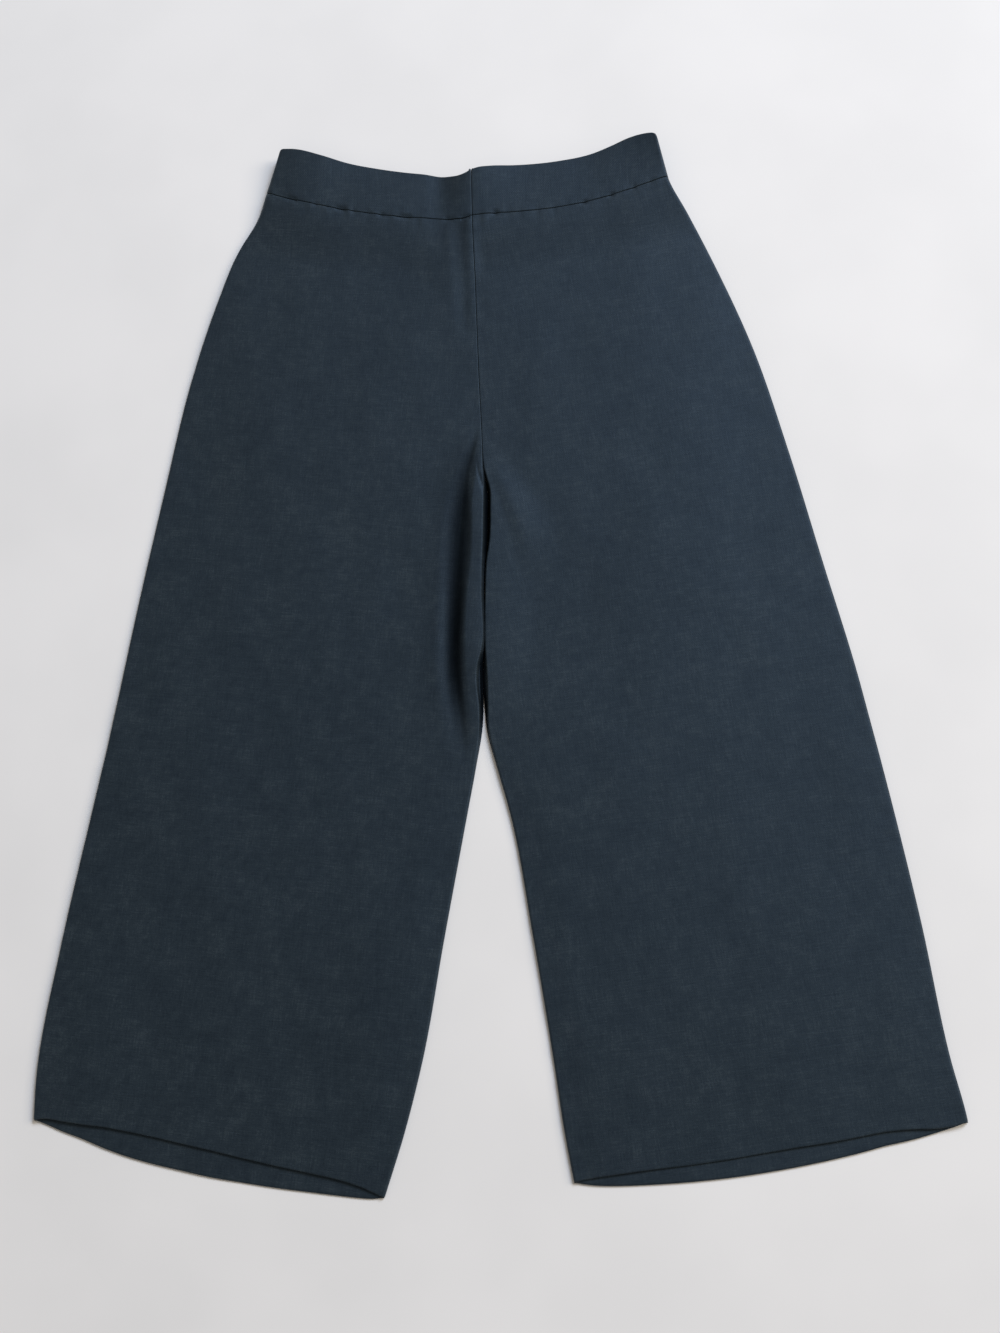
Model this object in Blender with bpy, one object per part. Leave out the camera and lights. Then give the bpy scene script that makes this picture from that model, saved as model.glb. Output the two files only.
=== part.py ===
"""Culottes laid flat: two wide cropped legs, a plain front waistband and an elastic back one.

Metres, +Z up. The garment lies on its back with its waist towards +Y. Left and right are those
of someone who looks down at it. The origin is the middle of its box, on the surface below it.
"""

import collections
import math

import bpy
import numpy as np

# Cloth
CLOTH = 0.0012  # wall of one layer
DOUBLE = 0.0024  # a turned-up hem, or a waistband of two layers
ELASTIC = 0.0036  # the back waistband: two layers and the elastic between them
GAP = 0.0003  # space kept between neighbouring pieces

# The garment as it lies, measured up from its lowest hem and across from its centre seam
MIDDLE = (0.0011, 0.46265)  # the middle of its box, which becomes the origin
WAIST_Y = 0.8445  # waistband seam at the centre front
BAND_HEIGHT = 0.045
BAND_END_HEIGHT = 0.039  # the same, where the band tips over the side seam
BAND_LEAN = 0.012  # how far the top of the band leans in at its ends
LEG_REACH = 0.84  # a leg's length from hem to waistband seam
HEM_DEPTH = 0.034  # cloth turned up at a hem
DOUBLE_REACH = 0.030  # how far past a double layer the front still feels its height

# Where each leg starts and ends, and how its hems and waist seam bow between their ends
Leg = collections.namedtuple(
    "Leg", "side sign hem_outer_y hem_inner_y waist_outer_y back_bow front_bow corner waist_bow mouth"
)
LEGS = (
    Leg("left", -1, 0.064, 0.001, 0.885, 0.0136, -0.0075, 0.50, 0.0095, 0.0085),
    Leg("right", 1, 0.052, 0.011, 0.864, 0.0143, 0.0020, 0.85, 0.0080, 0.0080),
)
HEM_BOW_REACH = 0.16  # how far up a leg the bow of its hem is felt
WAIST_BOW_REACH = 0.20
WAIST_CORNER = 0.6  # how full the waist's bow and an open hem are towards the side seam, as corner
BOW_POWER = 0.85  # shape of a bow at its inner end
BAND_END_POWER = 4  # how suddenly the band tips over its ends
BAND_LEAN_POWER = 2

# Outline from hem to waist: side seams, the centre line, and how far each inner edge is from it
Outline = collections.namedtuple("Outline", "y outer_left part_left centre part_right outer_right")
OUTLINE = (
    Outline(0.00, -0.3690, 0.0835, 0.0050, 0.0675, 0.3740),
    Outline(0.05, -0.3690, 0.0670, 0.0050, 0.0590, 0.3715),
    Outline(0.10, -0.3685, 0.0535, 0.0050, 0.0525, 0.3620),
    Outline(0.20, -0.3535, 0.0340, 0.0050, 0.0380, 0.3490),
    Outline(0.30, -0.3340, 0.0140, 0.0050, 0.0215, 0.3330),
    Outline(0.34, -0.3260, 0.0060, 0.0050, 0.0110, 0.3260),
    Outline(0.37, -0.3200, 0.0010, 0.0052, 0.0030, 0.3205),
    Outline(0.40, -0.3145, 0.0000, 0.0055, 0.0000, 0.3150),
    Outline(0.50, -0.2965, 0.0000, 0.0060, 0.0000, 0.2930),
    Outline(0.60, -0.2770, 0.0000, 0.0090, 0.0000, 0.2710),
    Outline(0.70, -0.2565, 0.0000, 0.0065, 0.0000, 0.2455),
    Outline(0.78, -0.2330, 0.0000, 0.0050, 0.0000, 0.2170),
    Outline(0.83, -0.2140, 0.0000, 0.0040, 0.0000, 0.1965),
    Outline(0.86, -0.1985, 0.0000, 0.0040, 0.0000, 0.1825),
    Outline(0.89, -0.1870, 0.0000, 0.0040, 0.0000, 0.1760),
)

# How high the front stands above the back that it lies on
CROTCH_Y = 0.587
CROTCH_BLEND = 0.030  # stretch over which two leg folds become one centre seam
ROLL = 0.006  # width of the rounded fold at a side
LEG_LOFT = 0.0024
HIP_LOFT = 0.0030
HIP_REACH = 0.30  # how far below the waist the hips still stand higher than the legs
BAND_LOFT = 0.0050
BAND_REACH = 0.06  # how far down a panel the height of the band is felt
MOUTH_REACH = 0.16  # how far up a leg its open hem is felt

# Waves that the shorter elastic back pushes up in the front waistband, fading down the panel
Wave = collections.namedtuple("Wave", "name halves x height left right reach")
WAVES = (
    Wave("left end", "left", -0.158, 0.0085, 0.026, 0.045, 0.11),
    Wave("left of the seam", "left", -0.011, -0.0018, 0.030, 0.016, 0.13),
    Wave("right of the seam", "right", 0.010, 0.0022, 0.030, 0.050, 0.09),
    Wave("right end", "right", 0.150, 0.0105, 0.034, 0.034, 0.09),
)
TOP_GAIN = 0.5  # how much higher a wave stands at the top of the band than at its seam

# Folds by the crotch: a ridge or a trough along a straight run from one point to the other
Fold = collections.namedtuple("Fold", "name side from_x from_y to_x to_y height width")
FOLDS = (
    Fold("inner thigh trough", "left", 0.002, 0.625, -0.015, 0.365, -0.0020, 0.010),
    Fold("inner thigh ridge", "left", 0.000, 0.580, -0.003, 0.400, 0.0012, 0.006),
    Fold("crotch trough", "right", 0.022, 0.603, 0.048, 0.490, -0.0010, 0.012),
)

# Grid lines of a panel: shares of its width from the inner edge, and rows up from the hem
SHARES = (0, 0.008, 0.022, 0.04, 0.062, 0.09, 0.14, 0.22, 0.32, 0.43, 0.54, 0.65, 0.76, 0.86, 0.93, 0.975, 0.992, 1)
BACK_SHARES = (0, 0.05, 0.12, 0.22, 0.34, 0.46, 0.58, 0.7, 0.82, 0.91, 0.97, 1)
HEM_ROWS = (0, HEM_DEPTH - 0.001, HEM_DEPTH + 0.001)
BODY_START = HEM_DEPTH + 0.013  # first row past the hem
ROWS = 30
BAND_ROWS = 4

FABRIC_COLOUR = (0.030, 0.041, 0.054)
FABRIC_ROUGHNESS = 0.9
SHARP_ANGLE = math.radians(40)


def column(name):
    return np.array([getattr(row, name) for row in OUTLINE])


def smooth(keys, values, at):
    """A smooth curve through the values at the keys, read at any number of places."""
    slopes = np.gradient(values, keys)
    start = np.clip(np.searchsorted(keys, at, side="right") - 1, 0, len(keys) - 2)
    span = keys[start + 1] - keys[start]
    part = (at - keys[start]) / span
    rise = values[start] * (1 + 2 * part) * (1 - part) ** 2
    rise += values[start + 1] * part**2 * (3 - 2 * part)
    return rise + span * part * (1 - part) * (slopes[start] * (1 - part) - slopes[start + 1] * part)


def fade(distance, reach):
    """1 at no distance, falling smoothly to 0 at the reach and staying there."""
    return 0.5 + 0.5 * np.cos(math.pi * np.clip(np.abs(distance) / reach, 0, 1))


def bulge(out, corner):
    """A bow that is 0 at both ends, fuller towards the side seam where corner is small."""
    power = BOW_POWER + (corner - BOW_POWER) * out
    return np.sin(math.pi * np.clip(out, 0, 1)) ** power


def centre_x(y):
    return smooth(column("y"), column("centre"), y)


def leg_plan(leg, out, along, hem_bow):
    """X and Y on a leg: out from its inner edge (0) to its side seam (1), along from hem (0) to waist (1)."""
    outer_y = leg.hem_outer_y + along * (leg.waist_outer_y - leg.hem_outer_y)
    inner_y = leg.hem_inner_y + along * (WAIST_Y - leg.hem_inner_y)
    outer_x = smooth(column("y"), column("outer_" + leg.side), outer_y)
    parting = np.maximum(smooth(column("y"), column("part_" + leg.side), inner_y), 0) + GAP / 2
    inner_x = centre_x(inner_y) + leg.sign * parting
    x = inner_x + out * (outer_x - inner_x)
    y = inner_y + out * (outer_y - inner_y)
    hem_shift = hem_bow * bulge(out, leg.corner) * fade(along * LEG_REACH, HEM_BOW_REACH)
    waist_shift = leg.waist_bow * bulge(out, WAIST_CORNER) * fade((1 - along) * LEG_REACH, WAIST_BOW_REACH)
    return x, y - hem_shift - waist_shift


def roll(distance):
    """How far cloth has risen at a distance in from a fold, 0 at the fold to 1."""
    return np.sin(np.clip(distance / ROLL, 0, 1) * math.pi / 2)


def waves(side, x, below, top):
    """Height of the waistband's waves at x, below the band's seam by a distance, or towards its top (1)."""
    height = np.zeros_like(x)
    for wave in WAVES:
        if wave.halves == side:
            width = np.where(x < wave.x, wave.left, wave.right)
            height += wave.height * fade(x - wave.x, width) * fade(below, wave.reach)
    return height * (1 + TOP_GAIN * top)


def fold_height(side, x, y):
    height = np.zeros_like(x)
    for fold in FOLDS:
        if fold.side != side:
            continue
        run = np.array([fold.to_x - fold.from_x, fold.to_y - fold.from_y])
        length = np.hypot(*run)
        ahead = ((x - fold.from_x) * run[0] + (y - fold.from_y) * run[1]) / length
        aside = ((x - fold.from_x) * run[1] - (y - fold.from_y) * run[0]) / length
        height += fold.height * fade(aside, fold.width) * fade(ahead - length / 2, length / 2)
    return height


def front_height(leg, out, along, x, y):
    """Height of the outer face of a front panel, which lies on the back and stands off it a little."""
    up = along * LEG_REACH
    down = LEG_REACH - up
    width = np.abs(x[:, -1] - x[:, 0])[:, None]
    joined = 0.5 - 0.5 * np.cos(math.pi * np.clip((y - CROTCH_Y) / CROTCH_BLEND, 0, 1))
    inner_roll = roll(out * width)
    inner_roll = inner_roll + (1 - inner_roll) * joined
    edge = roll((1 - out) * width) * inner_roll
    loft = LEG_LOFT + (HIP_LOFT - LEG_LOFT) * fade(down, HIP_REACH)
    loft = loft + (BAND_LOFT - HIP_LOFT) * fade(down, BAND_REACH)
    loft = loft + leg.mouth * bulge(out, WAIST_CORNER) * fade(up, MOUTH_REACH)
    loft = loft + waves(leg.side, x, down, 0) + fold_height(leg.side, x, y)
    layers = CLOTH + GAP + CLOTH
    layers = layers + 2 * (DOUBLE - CLOTH) * fade(np.maximum(up - HEM_DEPTH - DOUBLE_REACH, 0), DOUBLE_REACH)
    layers = layers + (ELASTIC + DOUBLE - 2 * CLOTH) * fade(down, DOUBLE_REACH)
    return layers + edge * np.maximum(loft, 0)


def make_material(name):
    material = bpy.data.materials.new(name)
    material.use_nodes = True
    shader = material.node_tree.nodes["Principled BSDF"]
    shader.inputs["Base Color"].default_value = (*FABRIC_COLOUR, 1)
    shader.inputs["Roughness"].default_value = FABRIC_ROUGHNESS
    shader.inputs["Metallic"].default_value = 0
    return material


def make_wall(name, x, y, under, thickness):
    """A closed wall on a grid of places whose rows run towards +Y and columns towards +X."""
    rows, width = x.shape
    x, y = x - MIDDLE[0], y - MIDDLE[1]
    low = np.stack([x, y, under], axis=-1).reshape(-1, 3)
    high = np.stack([x, y, under + thickness], axis=-1).reshape(-1, 3)
    index = np.arange(rows * width).reshape(rows, width)
    above = index + rows * width
    faces = []
    for row in range(rows - 1):
        for place in range(width - 1):
            cell = (row, place), (row, place + 1), (row + 1, place + 1), (row + 1, place)
            faces.append([above[corner] for corner in cell])
            faces.append([index[corner] for corner in reversed(cell)])
    rim = [*index[0], *index[1:, -1], *index[-1, -2::-1], *index[-2:0:-1, 0]]
    for start, end in zip(rim, rim[1:] + rim[:1]):
        faces.append([start, end, end + rows * width, start + rows * width])
    mesh = bpy.data.meshes.new(name)
    mesh.from_pydata(np.concatenate([low, high]).tolist(), [], [[int(i) for i in face] for face in faces])
    mesh.materials.append(make_material(name))
    mesh.shade_smooth()
    mesh.set_sharp_from_angle(angle=SHARP_ANGLE)
    bpy.context.scene.collection.objects.link(bpy.data.objects.new(name, mesh))


def columns(leg, shares):
    """The same grid lines for each piece that meets at a seam, running towards +X."""
    return np.array(shares if leg.side == "right" else shares[::-1], dtype=float)


def panel_grid(leg, shares):
    body = np.linspace(BODY_START, LEG_REACH, ROWS)
    return np.meshgrid(columns(leg, shares), np.concatenate([HEM_ROWS, body]) / LEG_REACH)


def band_grid(leg, shares):
    return np.meshgrid(columns(leg, shares), np.linspace(0, 1, BAND_ROWS + 1))


def hem_thickness(along):
    return np.where(along * LEG_REACH < HEM_DEPTH, DOUBLE, CLOTH)


def make_back(leg):
    out, along = panel_grid(leg, BACK_SHARES)
    x, y = leg_plan(leg, out, along, leg.back_bow)
    make_wall("back_" + leg.side, x, y, np.zeros_like(x), hem_thickness(along))


def make_front(leg):
    out, along = panel_grid(leg, SHARES)
    x, y = leg_plan(leg, out, along, leg.front_bow)
    thickness = hem_thickness(along)
    make_wall("front_" + leg.side, x, y, front_height(leg, out, along, x, y) - thickness, thickness)


def band_plan(leg, out, top):
    """X and Y on one half of the waistband: out from the centre (0) to the side (1), top from seam to edge."""
    x, y = leg_plan(leg, out, np.ones_like(out), 0)
    height = BAND_HEIGHT + (BAND_END_HEIGHT - BAND_HEIGHT) * out**BAND_END_POWER
    return x - leg.sign * BAND_LEAN * out**BAND_LEAN_POWER * top, y + GAP + top * height


def make_band_front(leg):
    out, top = band_grid(leg, SHARES)
    x, y = band_plan(leg, out, top)
    width = np.abs(x[:, -1] - x[:, 0])[:, None]
    edge = roll((1 - out) * width)
    loft = BAND_LOFT + waves(leg.side, x, np.zeros_like(x), top)
    make_wall("waistband_front_" + leg.side, x, y, ELASTIC + GAP + edge * np.maximum(loft, 0), DOUBLE)


def make_band_back():
    halves = [band_plan(leg, *band_grid(leg, BACK_SHARES)) for leg in LEGS]
    x, y = (np.concatenate(pair, axis=1) for pair in zip(*halves))
    make_wall("waistband_back", x, y, np.zeros_like(x), ELASTIC)


def clear_scene():
    for thing in list(bpy.data.objects):
        bpy.data.objects.remove(thing, do_unlink=True)


def main():
    clear_scene()
    for leg in LEGS:
        make_back(leg)
        make_front(leg)
        make_band_front(leg)
    make_band_back()


main()
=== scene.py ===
"""Culottes laid flat: the looks of every cut piece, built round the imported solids.

Metres, +Z up, waist towards +Y. Heights are of the outer face above the surface the garment lies
on. Places are measured up from the lowest hem and across from the centre seam, as in the solids,
and MIDDLE moves them to the shared origin at the end. Left and right are those of someone who looks
down at the garment with its waist away from them.
"""

import collections
import math

import bpy
import numpy as np
from mathutils import Matrix, Vector


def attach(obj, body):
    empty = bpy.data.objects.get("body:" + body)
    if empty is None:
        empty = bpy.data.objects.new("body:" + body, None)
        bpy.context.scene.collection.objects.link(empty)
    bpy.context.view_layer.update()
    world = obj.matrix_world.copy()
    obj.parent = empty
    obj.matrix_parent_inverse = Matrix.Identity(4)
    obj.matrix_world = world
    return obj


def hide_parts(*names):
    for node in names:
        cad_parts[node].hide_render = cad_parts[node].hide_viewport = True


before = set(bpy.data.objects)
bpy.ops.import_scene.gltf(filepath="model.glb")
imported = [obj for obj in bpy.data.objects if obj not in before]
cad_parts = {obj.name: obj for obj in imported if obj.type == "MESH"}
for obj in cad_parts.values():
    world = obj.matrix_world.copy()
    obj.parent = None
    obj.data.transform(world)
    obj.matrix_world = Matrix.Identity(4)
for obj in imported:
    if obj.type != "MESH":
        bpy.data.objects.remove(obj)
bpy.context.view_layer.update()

MM = 0.001

# ---------------------------------------------------------------------------------------------
# Sizes shared with the solids
# ---------------------------------------------------------------------------------------------
MIDDLE = (0.0011, 0.46265)
WAIST_Y = 0.8445
BAND_HEIGHT = 0.045
LEG_REACH = 0.84  # length of a leg panel from hem to waist
HEM_DEPTH = 0.034
CROTCH_Y = 0.587
CROTCH_BLEND = 0.030  # over which the fold of the inner thigh turns into the centre seam
HEM_BOW_REACH = 0.16
WAIST_BOW_REACH = 0.20

# ---------------------------------------------------------------------------------------------
# The cloth
# ---------------------------------------------------------------------------------------------
CLOTH = 0.7 * MM
FOLD_RADIUS = 0.8 * MM  # outside radius of a pressed fold, such as a hem
ELASTIC_RADIUS = 1.5 * MM  # the same over the elastic
SEAM_RADIUS = 0.65 * MM  # how sharply cloth turns down into a seam
SEAM_DEPTHS = (0.5 * MM, 1.4 * MM)  # of the two rows inside a waist seam
SEAM_GAP = 0.14 * MM
BACK_GAP = 0.2  # share of the seam gap between the backs, so that no light comes through

LEG_HEIGHT = 4.4 * MM  # outer face of the front over a leg
HIP_HEIGHT = 5.4 * MM
HIP_REACH = 0.32  # distance below the waist over which the front rises to the hips
FOLD_HEIGHT = 1.5 * MM  # where the front meets the back at a side
WAIST_FOLD_HEIGHT = 3.0 * MM
WAIST_FOLD_REACH = 0.03
SIDE_ROLL = 2.2 * MM  # width of the rounded edge at a side seam
WAIST_ROLL_REACH = 0.07  # distance below the waist over which it widens
THIGH_ROLL = 1.9 * MM
BACK_ROLL = 1.8 * MM
BACK_HEIGHT = 0.25 * MM  # underside of a back above the surface
BACK_LIFT = 0.5 * MM  # more of it under the gathers
BAND_BACK_HEIGHT = 0.6 * MM

SIDE_DROP = 0.1 * MM  # how much lower the front lies beside its side seam
SIDE_DROP_REACH = 0.035 / 0.29  # in shares of the panel's width
SIDE_DROP_END = 0.10  # distance below the waist where it has died out
THIGH_DROP = 0.6 * MM  # the same beside the inner thigh
THIGH_DROP_REACH = 0.030 / 0.29
THIGH_DROP_Y, THIGH_DROP_BLEND = 0.28, 0.08
MOUTH_REACH = 0.15  # distance up from a hem over which the mouth's height fades out
MOUTH_FULLNESS = 0.7
BOW_FULLNESS = 0.85

Leg = collections.namedtuple(
    "Leg",
    "side sign hem_outer_y hem_inner_y waist_outer_y"
    " waist_bow bow_skew mouth end_drop band_lean waist_roll",
)
LEFT = Leg(
    side="left",
    sign=-1,
    hem_outer_y=0.064,
    hem_inner_y=0.001,
    waist_outer_y=0.885,
    waist_bow=0.0102,  # how far the waist seam sags between its ends
    bow_skew=-0.25,  # below 0 it sags more towards the side seam
    mouth=-0.0004,  # how much higher the middle of the hem lies
    end_drop=0.0055,  # how much lower the band is at its end
    band_lean=0.0120,  # how far the band's end leans inwards
    waist_roll=0.0050,  # width of the rounded edge at the waist
)
RIGHT = Leg(
    side="right",
    sign=1,
    hem_outer_y=0.052,
    hem_inner_y=0.011,
    waist_outer_y=0.864,
    waist_bow=0.0090,
    bow_skew=0.30,
    mouth=-0.0006,
    end_drop=0.0070,
    band_lean=0.0075,
    waist_roll=0.0026,
)
LEGS = (LEFT, RIGHT)

# Where the outer edges, the line where the legs meet, and each leg's parting from it lie
Outline = collections.namedtuple("Outline", "y outer_left part_left centre part_right outer_right")
OUTLINE = (
    Outline(0.00, -0.3690, 0.0835, 0.0050, 0.0675, 0.3740),
    Outline(0.05, -0.3690, 0.0670, 0.0050, 0.0590, 0.3715),
    Outline(0.10, -0.3685, 0.0535, 0.0050, 0.0525, 0.3620),
    Outline(0.20, -0.3535, 0.0340, 0.0050, 0.0380, 0.3490),
    Outline(0.30, -0.3340, 0.0140, 0.0050, 0.0215, 0.3330),
    Outline(0.34, -0.3260, 0.0060, 0.0050, 0.0110, 0.3260),
    Outline(0.37, -0.3200, 0.0010, 0.0052, 0.0030, 0.3205),
    Outline(0.40, -0.3145, 0.0000, 0.0055, 0.0000, 0.3150),
    Outline(0.50, -0.2965, 0.0000, 0.0060, 0.0000, 0.2930),
    Outline(0.60, -0.2770, 0.0000, 0.0090, 0.0000, 0.2710),
    Outline(0.70, -0.2565, 0.0000, 0.0065, 0.0000, 0.2455),
    Outline(0.78, -0.2330, 0.0000, 0.0050, 0.0000, 0.2170),
    Outline(0.83, -0.2140, 0.0000, 0.0040, 0.0000, 0.1965),
    Outline(0.86, -0.1965, 0.0000, 0.0040, 0.0000, 0.1825),
    Outline(0.89, -0.1870, 0.0000, 0.0040, 0.0000, 0.1760),
)

# How far each hem drops below the straight line between its corners, from the inner (0) to the
# outer (1)
Hem = collections.namedtuple("Hem", "out back_left front_left back_right front_right")
HEMS = (
    Hem(0.000, 0.0000, 0.0000, 0.0000, -0.0004),
    Hem(0.035, 0.0029, -0.0024, 0.0032, -0.0008),
    Hem(0.075, 0.0046, -0.0046, 0.0058, -0.0010),
    Hem(0.120, 0.0060, -0.0058, 0.0078, -0.0009),
    Hem(0.200, 0.0082, -0.0060, 0.0104, -0.0005),
    Hem(0.300, 0.0108, -0.0058, 0.0128, 0.0004),
    Hem(0.400, 0.0126, -0.0061, 0.0141, 0.0006),
    Hem(0.480, 0.0138, -0.0066, 0.0143, 0.0001),
    Hem(0.580, 0.0138, -0.0070, 0.0136, -0.0004),
    Hem(0.670, 0.0134, -0.0072, 0.0120, -0.0005),
    Hem(0.740, 0.0120, -0.0069, 0.0101, -0.0013),
    Hem(0.790, 0.0101, -0.0065, 0.0083, -0.0019),
    Hem(0.860, 0.0064, -0.0048, 0.0068, -0.0008),
    Hem(0.920, 0.0040, -0.0038, 0.0044, 0.0014),
    Hem(0.965, 0.0014, -0.0030, 0.0022, 0.0014),
    Hem(1.000, 0.0000, 0.0000, 0.0000, 0.0000),
)

# How far the line where the legs meet wanders across, and how far each front stands off it
Slit = collections.namedtuple("Slit", "y shift width")
SLIT = (
    Slit(0.330, 0.0000, 0.0000),
    Slit(0.345, 0.0000, 0.0002),
    Slit(0.372, 0.0004, 0.0010),
    Slit(0.392, 0.0008, 0.0022),
    Slit(0.406, 0.0003, 0.0032),
    Slit(0.425, 0.0003, 0.0026),
    Slit(0.438, 0.0017, 0.0004),
    Slit(0.490, 0.0025, 0.0001),
    Slit(0.518, 0.0032, 0.0004),
    Slit(0.532, 0.0043, 0.0012),
    Slit(0.565, 0.0042, 0.0017),
    Slit(0.582, 0.0038, 0.0014),
    Slit(0.592, 0.0022, 0.0004),
    Slit(0.602, 0.0006, 0.0000),
    Slit(0.615, 0.0000, 0.0000),
)

# The front waistband and the panels below it, from the left end to the right one: the height of its
# top and of its seam, how far below the seam that height reaches, how far the band sags there, and
# how much taller it is there
Crest = collections.namedtuple("Crest", "x top seam reach drop rise", defaults=(0.0,))
CRESTS = (
    Crest(-0.200, 0.0130, 0.0102, 0.06, 0.0000, -0.0014),
    Crest(-0.186, 0.0148, 0.0108, 0.06, 0.0000, 0.0012),
    Crest(-0.170, 0.0158, 0.0112, 0.06, 0.0000, 0.0039),
    Crest(-0.142, 0.0152, 0.0110, 0.06, 0.0000, 0.0028),
    Crest(-0.115, 0.0122, 0.0100, 0.06, 0.0002, 0.0004),
    Crest(-0.085, 0.0102, 0.0096, 0.06, 0.0010),
    Crest(-0.060, 0.0094, 0.0093, 0.06, 0.0023),
    Crest(-0.040, 0.0085, 0.0088, 0.07, 0.0034),
    Crest(-0.023, 0.0076, 0.0084, 0.09, 0.0058),
    Crest(-0.016, 0.0092, 0.0090, 0.09, 0.0064),
    Crest(-0.008, 0.0118, 0.0098, 0.09, 0.0070),
    Crest(-0.002, 0.0132, 0.0103, 0.08, 0.0058),
    Crest(0.004, 0.0141, 0.0105, 0.07, 0.0034),
    Crest(0.011, 0.0144, 0.0105, 0.06, 0.0013),
    Crest(0.020, 0.0136, 0.0104, 0.06, 0.0002),
    Crest(0.045, 0.0112, 0.0098, 0.06, 0.0000),
    Crest(0.085, 0.0104, 0.0096, 0.06, 0.0000, -0.0004),
    Crest(0.118, 0.0108, 0.0100, 0.06, 0.0000, 0.0004),
    Crest(0.136, 0.0130, 0.0108, 0.06, 0.0000, 0.0024),
    Crest(0.152, 0.0152, 0.0117, 0.06, 0.0000, 0.0046),
    Crest(0.172, 0.0182, 0.0128, 0.06, 0.0000, 0.0032),
    Crest(0.195, 0.0215, 0.0140, 0.06, 0.0000, -0.0040),
)

# Soft troughs and ridges, each a line that wanders up its leg: its place, its height, the widths of
# its two sides, and how far its crest leans to the right
Run = collections.namedtuple("Run", "y x height left right lean", defaults=(0.0,))
FOLDS = {
    "inner thigh trough": (
        LEFT,
        (
            Run(0.345, -0.0105, 0.0000, 0.016, 0.006),
            Run(0.380, -0.0140, -0.0010, 0.018, 0.007),
            Run(0.415, -0.0182, -0.0024, 0.016, 0.008),
            Run(0.440, -0.0194, -0.0028, 0.015, 0.008),
            Run(0.490, -0.0172, -0.0026, 0.015, 0.008),
            Run(0.547, -0.0120, -0.0020, 0.018, 0.008),
            Run(0.575, -0.0098, -0.0018, 0.014, 0.007),
            Run(0.600, -0.0060, -0.0012, 0.010, 0.006),
            Run(0.622, 0.0000, -0.0005, 0.006, 0.004),
            Run(0.642, 0.0050, 0.0000, 0.004, 0.003),
        ),
    ),
    "inner thigh roll": (
        LEFT,
        (
            Run(0.350, 0.0000, 0.0000, 0.0100, 0.026, 0.0000),
            Run(0.400, -0.0040, 0.0020, 0.0110, 0.034, -0.0010),
            Run(0.440, -0.0056, 0.0044, 0.0105, 0.038, -0.0016),
            Run(0.490, -0.0026, 0.0052, 0.0110, 0.036, -0.0020),
            Run(0.520, 0.0012, 0.0054, 0.0105, 0.034, -0.0022),
            Run(0.547, 0.0026, 0.0054, 0.0100, 0.032, -0.0022),
            Run(0.575, 0.0022, 0.0042, 0.0090, 0.028, -0.0016),
            Run(0.598, 0.0046, 0.0018, 0.0080, 0.022, -0.0006),
            Run(0.618, 0.0070, 0.0005, 0.0080, 0.016, 0.0000),
            Run(0.640, 0.0085, 0.0000, 0.0080, 0.012, 0.0000),
        ),
    ),
    "crotch crease": (
        LEFT,
        (
            Run(0.568, 0.0118, 0.0000, 0.0013, 0.0015),
            Run(0.577, 0.0106, -0.0009, 0.0013, 0.0015),
            Run(0.590, 0.0076, -0.0008, 0.0013, 0.0015),
            Run(0.601, 0.0049, -0.0004, 0.0013, 0.0015),
            Run(0.610, 0.0036, 0.0000, 0.0013, 0.0015),
        ),
    ),
    "hollow beside the centre front": (
        LEFT,
        (
            Run(0.720, -0.0050, 0.0000, 0.010, 0.009),
            Run(0.760, -0.0062, -0.0006, 0.011, 0.009),
            Run(0.800, -0.0074, -0.0010, 0.012, 0.010),
            Run(0.835, -0.0085, -0.0008, 0.012, 0.010),
            Run(0.850, -0.0090, -0.0002, 0.012, 0.010),
        ),
    ),
    "right thigh edge": (
        RIGHT,
        (
            Run(0.355, 0.0070, 0.0000, 0.006, 0.030),
            Run(0.400, 0.0090, 0.0012, 0.006, 0.044),
            Run(0.440, 0.0100, 0.0015, 0.006, 0.046),
            Run(0.500, 0.0110, 0.0018, 0.006, 0.046),
            Run(0.535, 0.0140, 0.0020, 0.006, 0.046),
            Run(0.575, 0.0140, 0.0018, 0.006, 0.040),
            Run(0.598, 0.0120, 0.0010, 0.006, 0.030),
            Run(0.625, 0.0100, 0.0000, 0.006, 0.016),
        ),
    ),
    "soft fold under the crotch": (
        RIGHT,
        (
            Run(0.500, 0.0520, 0.0000, 0.014, 0.024),
            Run(0.520, 0.0490, 0.0006, 0.016, 0.028),
            Run(0.540, 0.0455, 0.0011, 0.016, 0.030),
            Run(0.560, 0.0390, 0.0011, 0.015, 0.030),
            Run(0.585, 0.0290, 0.0006, 0.012, 0.024),
            Run(0.610, 0.0200, 0.0000, 0.010, 0.018),
        ),
    ),
}

# How dark the cloth is in the shadow of the deep fold: its line up the leg, its depth from 0 to 1,
# and the widths of its sides
Shadow = collections.namedtuple("Shadow", "y x depth left right")
TROUGH_SHADOW = (
    Shadow(0.350, -0.0100, 0.00, 0.006, 0.004),
    Shadow(0.367, -0.0120, 0.14, 0.008, 0.005),
    Shadow(0.382, -0.0138, 0.36, 0.010, 0.007),
    Shadow(0.397, -0.0156, 0.62, 0.012, 0.008),
    Shadow(0.415, -0.0174, 0.80, 0.013, 0.009),
    Shadow(0.449, -0.0178, 0.84, 0.013, 0.010),
    Shadow(0.485, -0.0156, 0.80, 0.015, 0.011),
    Shadow(0.520, -0.0128, 0.76, 0.018, 0.009),
    Shadow(0.547, -0.0114, 0.75, 0.018, 0.009),
    Shadow(0.574, -0.0090, 0.70, 0.017, 0.007),
    Shadow(0.602, -0.0056, 0.52, 0.014, 0.004),
    Shadow(0.620, 0.0000, 0.34, 0.008, 0.0030),
    Shadow(0.634, 0.0046, 0.00, 0.004, 0.0025),
)
SHADOW_CORE = 1.6 * MM  # half the width over which the shadow is at its full depth
STRIP_SHADOW = 0.13  # of the roll between the trough and the slit
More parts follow.
